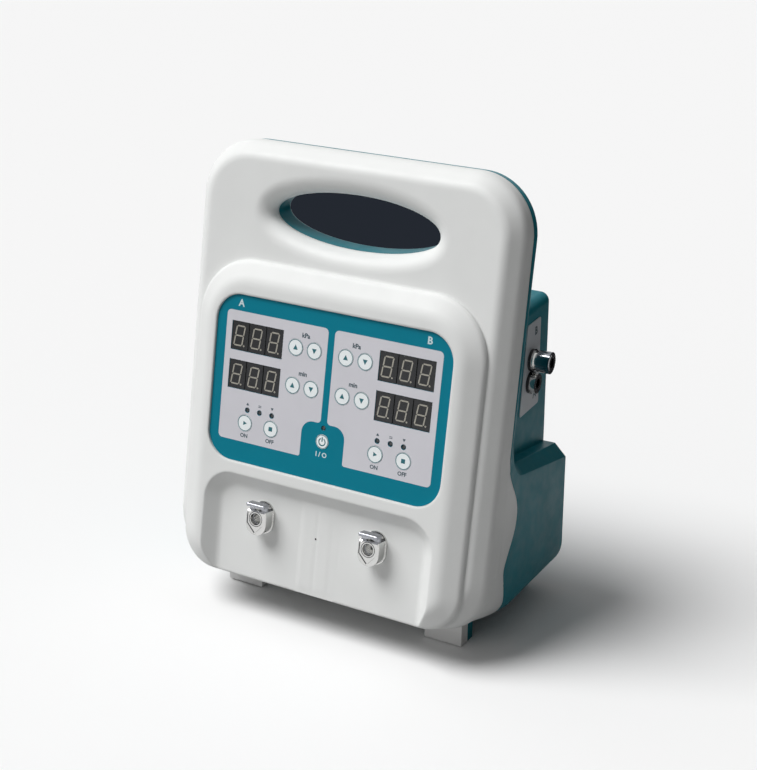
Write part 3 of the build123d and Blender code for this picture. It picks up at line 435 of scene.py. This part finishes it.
def printed(name, loops, matrix, material, body="case"):
    """Thin flat piece bounded by the loops, holes included."""
    curve = bpy.data.curves.new(name, "CURVE")
    curve.dimensions = "2D"
    curve.fill_mode = "BOTH"
    curve.extrude = PRINT_LIFT / 2
    for loop in loops:
        s = curve.splines.new("POLY")
        s.points.add(len(loop) - 1)
        for p, (x, y) in zip(s.points, loop):
            p.co = (x, y, 0.0, 1.0)
        s.use_cyclic_u = True
    place(name, curve, matrix, material, body)


def words(name, text, u, v, size, matrix, material, weight=0.03):
    """Short generic mark, such as a unit."""
    curve = bpy.data.curves.new(name, "FONT")
    curve.body = text
    curve.size = size
    curve.align_x = "CENTER"
    curve.align_y = "CENTER"
    curve.extrude = PRINT_LIFT / 2
    curve.offset = weight * size
    curve.resolution_u = 3
    at = matrix @ Matrix.Translation((u, v, 0))
    place(name, curve, at, material, "case")


# Places of keys, lamps and display windows on the overlay
KEY_RADIUS = 5.4
POWER_KEY_RADIUS = 4.6
KEY_GAP = 0.25
BUTTON_ROW = -28.5
KEYS = {}
for channel, columns in (("a", (-25.6, -11.7)), ("b", (11.5, 25.6))):
    for what, row in (("pressure", 27.9), ("time", 3.2)):
        KEYS[f"key_{channel}_{what}_up"] = (columns[0], row, KEY_RADIUS)
        KEYS[f"key_{channel}_{what}_down"] = (columns[1], row, KEY_RADIUS)
for channel, columns in (("a", (-59.3, -39.3)), ("b", (38.8, 59.0))):
    KEYS[f"key_{channel}_start"] = (columns[0], BUTTON_ROW, KEY_RADIUS)
    KEYS[f"key_{channel}_stop"] = (columns[1], BUTTON_ROW, KEY_RADIUS)
KEYS["key_power"] = (0.0, BUTTON_ROW, POWER_KEY_RADIUS)
LAMP_ROW = -19.7
LAMP_HOLE = 1.85
LAMPS = {"a": (-58.2, -48.8, -39.3), "b": (39.4, 48.8, 58.2)}
WINDOWS = [(u, v) for u in (-55.2, 55.2) for v in (27.7, 2.4)]
WINDOW_HOLE = (39.6, 19.1)

# Grey panels, cut open round keys, lamps and windows
PRINT = face(PRINT_LIFT)
PANEL_TOP = face(0.07)
PANEL_CORNERS = (
    (2.4, 44.0, 3.0),
    (79.3, 44.0, 3.0),
    (79.3, -41.2, 3.0),
    (16.0, -41.2, 1.5),
    (16.0, -17.0, 8.0),
    (2.4, -17.0, 2.5),
)
for side, channel in ((-1, "a"), (1, "b")):
    loops = [rounded([(side * u, v, r) for u, v, r in PANEL_CORNERS])]
    loops += [circle(u, v, r + KEY_GAP) for u, v, r in KEYS.values() if u * side > 0]
    loops += [circle(u, LAMP_ROW, LAMP_HOLE) for u in LAMPS[channel]]
    loops += [box(u, v, *WINDOW_HOLE) for u, v in WINDOWS if u * side > 0]
    printed(f"printed_panel_{channel}", loops, PRINT, GREY)

# Words and lamp marks, all generic
CHANNEL_PLACE = (69.0, 49.0)
CHANNEL_SIZE = 6.4
UNIT_U = 18.6
PRESSURE_ROW = 36.4
TIME_ROW = 11.8
UNIT_SIZE = 4.2
BUTTON_WORD_ROW = -36.9
BUTTON_WORD_SIZE = 3.6
POWER_WORD_ROW = -37.2
POWER_WORD_SIZE = 4.4
MARK_LOW = -16.4
MARK_HIGH = -14.6
MARK_HALF = 1.1
DASH_ROWS = (-15.1, -16.0)
DASH_THICK = 0.4
for side, name, text in ((-1, "mark_a", "A"), (1, "mark_b", "B")):
    u, v = CHANNEL_PLACE
    words(name, text, side * u, v, CHANNEL_SIZE, PRINT, PALE_INK)
for side, channel in ((-1, "a"), (1, "b")):
    start_u = KEYS[f"key_{channel}_start"][0]
    stop_u = KEYS[f"key_{channel}_stop"][0]
    for name, text, u, v, size in (
        ("unit_pressure", "kPa", side * UNIT_U, PRESSURE_ROW, UNIT_SIZE),
        ("unit_time", "min", side * UNIT_U, TIME_ROW, UNIT_SIZE),
        ("mark_on", "ON", start_u, BUTTON_WORD_ROW, BUTTON_WORD_SIZE),
        ("mark_off", "OFF", stop_u, BUTTON_WORD_ROW, BUTTON_WORD_SIZE),
    ):
        words(f"{name}_{channel}", text, u, v, size, PANEL_TOP, DARK_INK)
    u0, u1, u2 = LAMPS[channel]
    marks = [
        [(u0 - MARK_HALF, MARK_LOW), (u0 + MARK_HALF, MARK_LOW), (u0, MARK_HIGH)],
        *[box(u1, row, 2 * MARK_HALF, DASH_THICK) for row in DASH_ROWS],
        [(u2 - MARK_HALF, MARK_HIGH), (u2, MARK_LOW), (u2 + MARK_HALF, MARK_HIGH)],
    ]
    printed(f"lamp_marks_{channel}", marks, PANEL_TOP, DARK_INK)
words(
    "mark_power", "I / O", 0.0, POWER_WORD_ROW, POWER_WORD_SIZE,
    PRINT, PALE_INK,
)

# Rings and symbols on the keys
KEY_PRINT = face(0.22)
KEY_PRINT_UPPER = face(0.25)
KEY_RINGS = (5.25, 4.85)
POWER_RINGS = (4.45, 4.1)
POWER_ARC = (2.3, 0.75, 118, 422)
POWER_ARC_DROP = 0.2
POWER_BAR = (0.75, 3.0)
POWER_BAR_RISE = 1.5
STOP_SIDE = 2.8
STOP_CORNER = 0.25
ARROWS = {
    "up": ((-1.7, -1.4), (1.7, -1.4), (0.0, 1.9)),
    "down": ((-1.7, 1.4), (0.0, -1.9), (1.7, 1.4)),
    "start": ((-1.1, -1.4), (1.6, 0.0), (-1.1, 1.4)),
}


def key_symbol(name, u, v):
    """Arrow or rounded square for the last word of the key's name."""
    kind = name.rsplit("_", 1)[1]
    if kind in ARROWS:
        return [(u + x, v + y) for x, y in ARROWS[kind]]
    return rounded([(*corner, STOP_CORNER) for corner in box(u, v, STOP_SIDE, STOP_SIDE)], 3)


def key_print(kind, key, loops, matrix):
    printed(f"{kind}_{key}", loops, matrix, INK, key)


for name, (u, v, _) in KEYS.items():
    if name == "key_power":
        arc = arc_band(u, v - POWER_ARC_DROP, *POWER_ARC)
        bar = box(u, v + POWER_BAR_RISE, *POWER_BAR)
        key_print("print", name, [circle(u, v, ring) for ring in POWER_RINGS], KEY_PRINT)
        key_print("symbol", name, [arc], KEY_PRINT)
        key_print("bar", name, [bar], KEY_PRINT_UPPER)
    else:
        rings = [circle(u, v, ring) for ring in KEY_RINGS]
        key_print("print", name, [*rings, key_symbol(name, u, v)], KEY_PRINT)

# Digits: seven unlit segments and a point on each
SLANT = math.tan(math.radians(8))
DIGIT_PITCH = 13.2
DIGIT_SHIFT = -0.6
DIGIT_HALF_WIDTH = 3.1
DIGIT_HALF_HEIGHT = 6.4
POINT_REACH = 4.7
POINT_RADIUS = 0.6
SEGMENT_WIDTH = 0.9
SEGMENT_GAP = 0.18
SEGMENT_LEVEL = -0.28
DIGIT_CORNERS = {
    "tl": (-DIGIT_HALF_WIDTH, DIGIT_HALF_HEIGHT),
    "tr": (DIGIT_HALF_WIDTH, DIGIT_HALF_HEIGHT),
    "ml": (-DIGIT_HALF_WIDTH, 0),
    "mr": (DIGIT_HALF_WIDTH, 0),
    "bl": (-DIGIT_HALF_WIDTH, -DIGIT_HALF_HEIGHT),
    "br": (DIGIT_HALF_WIDTH, -DIGIT_HALF_HEIGHT),
}
DIGIT_BARS = (
    ("tl", "tr"), ("ml", "mr"), ("bl", "br"),
    ("tl", "ml"), ("ml", "bl"), ("tr", "mr"), ("mr", "br"),
)


def segment(start, end):
    """Six-sided bar between two corners of a digit."""
    d = (Vector(end) - Vector(start)).normalized()
    tip = d * SEGMENT_WIDTH / 2
    n = Vector((-d.y, d.x)) * SEGMENT_WIDTH / 2
    a = Vector(start) + d * SEGMENT_GAP
    b = Vector(end) - d * SEGMENT_GAP
    return [a, a + tip + n, b - tip + n, b, b - tip - n, a + tip - n]


for index, (u, v) in enumerate(WINDOWS):
    loops = []
    for k in (-1, 0, 1):
        digit_u = u + k * DIGIT_PITCH + DIGIT_SHIFT
        for start, end in DIGIT_BARS:
            bar = segment(DIGIT_CORNERS[start], DIGIT_CORNERS[end])
            loops.append([(digit_u + p.x + p.y * SLANT, v + p.y) for p in bar])
        point_u = digit_u + POINT_REACH - DIGIT_HALF_HEIGHT * SLANT
        loops.append(circle(point_u, v - DIGIT_HALF_HEIGHT, POINT_RADIUS, 14))
    printed(f"segments_{index}", loops, face(SEGMENT_LEVEL), SEGMENT)

# Edge lines of the wire clip on the front of each coupling, and a dark disc of painted shade
# standing in for the recess's pinhole
COUPLING_U = 42.5
COUPLING_V = -89.0
COUPLING_LENGTH = 10.4
CLIP_LONG = ((-6.6, 3.6), (-6.6, -3.4), (-0.5, -9.6), (0.1, -9.0), (-5.9, -3.1), (-5.9, 3.6))
CLIP_SHORT = ((5.0, -4.2), (5.5, -3.8), (1.0, -8.8), (0.5, -9.2))
CLIP_RINGS = (5.1, 4.65)
CLIP_LEVEL = face(-RECESS_DEPTH + COUPLING_LENGTH + PRINT_LIFT)
for channel, middle in (("a", -COUPLING_U), ("b", COUPLING_U)):
    loops = [[(middle + x, COUPLING_V + y) for x, y in line] for line in (CLIP_LONG, CLIP_SHORT)]
    loops += [circle(middle, COUPLING_V, r) for r in CLIP_RINGS]
    printed(f"clip_lines_{channel}", loops, CLIP_LEVEL, GLOSS_BLACK)
# Painted shade: a flat gloss black disc where the pinhole's shade falls, not a cut hole
PINHOLE_SHADE_DISC = circle(-1.9, -95.0, 0.62, 20)
PINHOLE_LEVEL = face(-RECESS_DEPTH + BAND_HEIGHT + PRINT_LIFT)
printed("recess_pinhole_shade", [PINHOLE_SHADE_DISC], PINHOLE_LEVEL, GLOSS_BLACK)

# Letters of the side label, and the rocker's marks
LABEL_TOP = wall(0.53)
LABEL_MARKS = (("side_mark_b", "B", 46.0, 193.0), ("side_mark_a", "A", 46.5, 149.5))
LABEL_MARK_SIZE = 7.4
BOLD = 0.05
ROCKER_U = -12.0
ROCKER_MARKS = (("rocker_mark_on", "I", 61.5), ("rocker_mark_off", "O", 28.5))
ROCKER_MARK_SIZE = 4.6
for name, text, y, z in LABEL_MARKS:
    u = y - REAR_Y
    words(name, text, u, z, LABEL_MARK_SIZE, LABEL_TOP, DARK_INK, BOLD)
for name, text, z in ROCKER_MARKS:
    words(name, text, ROCKER_U, z, ROCKER_MARK_SIZE, back(PRINT_LIFT), PALE_INK)

# Stage: what the camera, gloss and glass see of it is brighter than the light it gives
SEEN = ("Is Camera Ray", "Is Glossy Ray", "Is Transmission Ray")
SEEN_TONE = 0.92
FLOOR_BOUNCE = 0.34
FLOOR_HALF = 6.0
FLOOR_Z = -0.0005


def seen_rays(nt):
    """One number that is 1 for the kinds of ray that see the stage."""
    paths = nt.nodes.new("ShaderNodeLightPath")
    last = paths.outputs[SEEN[0]]
    for output in SEEN[1:]:
        most = nt.nodes.new("ShaderNodeMath")
        most.operation = "MAXIMUM"
        nt.links.new(last, most.inputs[0])
        nt.links.new(paths.outputs[output], most.inputs[1])
        last = most.outputs[0]
    return last


def sheet(name, corners, colour):
    """Flat stage card through the corners, lying or standing."""
    mesh = bpy.data.meshes.new(name)
    mesh.from_pydata(corners, [], [tuple(range(len(corners)))])
    o = add_object(name, mesh)
    m, nt, b = new_material(name)
    b.inputs["Base Color"].default_value = (*colour, 1)
    b.inputs["Roughness"].default_value = 0.9
    b.inputs["Specular IOR Level"].default_value = 0.0
    mesh.materials.append(m)
    return o, nt, b


FLOOR = [(x, y, FLOOR_Z) for x, y in box(0.0, 0.0, 2 * FLOOR_HALF, 2 * FLOOR_HALF)]
nt, b = sheet("floor", FLOOR, (0.81, 0.81, 0.81))[1:]
tone = nt.nodes.new("ShaderNodeMix")
tone.data_type = "RGBA"
tone.inputs[6].default_value = (FLOOR_BOUNCE, FLOOR_BOUNCE, FLOOR_BOUNCE, 1)
tone.inputs[7].default_value = (SEEN_TONE, SEEN_TONE, SEEN_TONE, 1)
nt.links.new(seen_rays(nt), tone.inputs[0])
nt.links.new(tone.outputs[2], b.inputs["Base Color"])

# Dark card on the floor, seen through the hand opening from the photo's place
DARK_CARD = [(-0.56, 0.62, 0.0), (-0.27, 0.62, 0.0), (-0.38, 0.94, 0.0), (-0.70, 0.94, 0.0)]
sheet("dark_card", DARK_CARD, (0.018, 0.022, 0.030))


# Dark flags that only gloss and metal see
def standing(x0, y0, x1, y1, height):
    """Corners of an upright card on the floor line between two points."""
    return [(x0, y0, 0.0), (x1, y1, 0.0), (x1, y1, height), (x0, y0, height)]


FLAG_FLOOR = [(0.20, 0.28, 0.002), (1.3, 0.28, 0.002), (1.3, 1.6, 0.002), (0.05, 1.6, 0.002)]
for name, corners in (
    ("flag_front", standing(-1.9, -1.2, -0.5, -2.0, 0.62)),
    ("flag_right", standing(1.1, -0.1, 1.1, 1.9, 1.0)),
    ("flag_floor", FLAG_FLOOR),
    ("flag_rear", standing(-0.1, 1.6, 1.1, 1.6, 0.7)),
):
    flag = sheet(name, corners, (0.02, 0.02, 0.022))[0]
    flag.visible_camera = False
    flag.visible_diffuse = False
    flag.visible_shadow = False

# Light: a soft sky, brighter on the left, a broad lamp above and a weak low one in front
SKY_LEFT = 0.40
SKY_RIGHT = 0.03
world = bpy.data.worlds.new("studio")
bpy.context.scene.world = world
world.use_nodes = True
wn = world.node_tree
bg = wn.nodes["Background"]
bg.inputs["Color"].default_value = (1, 1, 1, 1)
heading = wn.nodes.new("ShaderNodeTexCoord")
parts = wn.nodes.new("ShaderNodeSeparateXYZ")
wn.links.new(heading.outputs["Generated"], parts.inputs["Vector"])
sky = wn.nodes.new("ShaderNodeMapRange")
sky.inputs["From Min"].default_value = -1.0
sky.inputs["From Max"].default_value = 1.0
sky.inputs["To Min"].default_value = SKY_LEFT
sky.inputs["To Max"].default_value = SKY_RIGHT
wn.links.new(parts.outputs["X"], sky.inputs["Value"])
level = wn.nodes.new("ShaderNodeMix")
level.inputs[3].default_value = SEEN_TONE
wn.links.new(seen_rays(wn), level.inputs[0])
wn.links.new(sky.outputs["Result"], level.inputs[2])
wn.links.new(level.outputs[0], bg.inputs["Strength"])

LAMP_FROM = Vector((-0.42, -0.32, 0.85))
lamp = bpy.data.lights.new("broad_lamp", "SUN")
lamp.energy = 2.9
lamp.angle = math.radians(36)
lamp_object = add_object("broad_lamp", lamp)
lamp_object.rotation_euler = LAMP_FROM.to_track_quat("Z", "Y").to_euler()

FILL_PLACE = Vector((-0.35, -1.55, 0.22))
FILL_FROM = Vector((-0.35, -1.55, 0.12))
fill = bpy.data.lights.new("low_fill", "AREA")
fill.shape = "RECTANGLE"
fill.size = 1.4
fill.size_y = 0.4
fill.energy = 1.6
fill_object = add_object("low_fill", fill)
fill_object.location = FILL_PLACE
fill_object.rotation_euler = FILL_FROM.to_track_quat("Z", "Y").to_euler()

# Camera at the photograph's place
SENSOR = 36.0
FOCAL_PIXELS = 1664.85
PHOTO_HEIGHT = 770.0
RIGHT = Vector((0.86110, 0.50844, 0.0))
FORWARD = Vector((-0.47240, 0.80007, -0.36978))
PLACE = Vector((0.5209, -0.8678, 0.5543))
camera_data = bpy.data.cameras.new("camera")
camera_data.sensor_fit = "VERTICAL"
camera_data.sensor_height = SENSOR
camera_data.lens = FOCAL_PIXELS * SENSOR / PHOTO_HEIGHT
camera = add_object("camera", camera_data)
pose = Matrix((RIGHT, RIGHT.cross(FORWARD), -FORWARD)).transposed().to_4x4()
pose.translation = PLACE
camera.matrix_world = pose
bpy.context.scene.camera = camera
bpy.context.scene.view_settings.view_transform = "Standard"
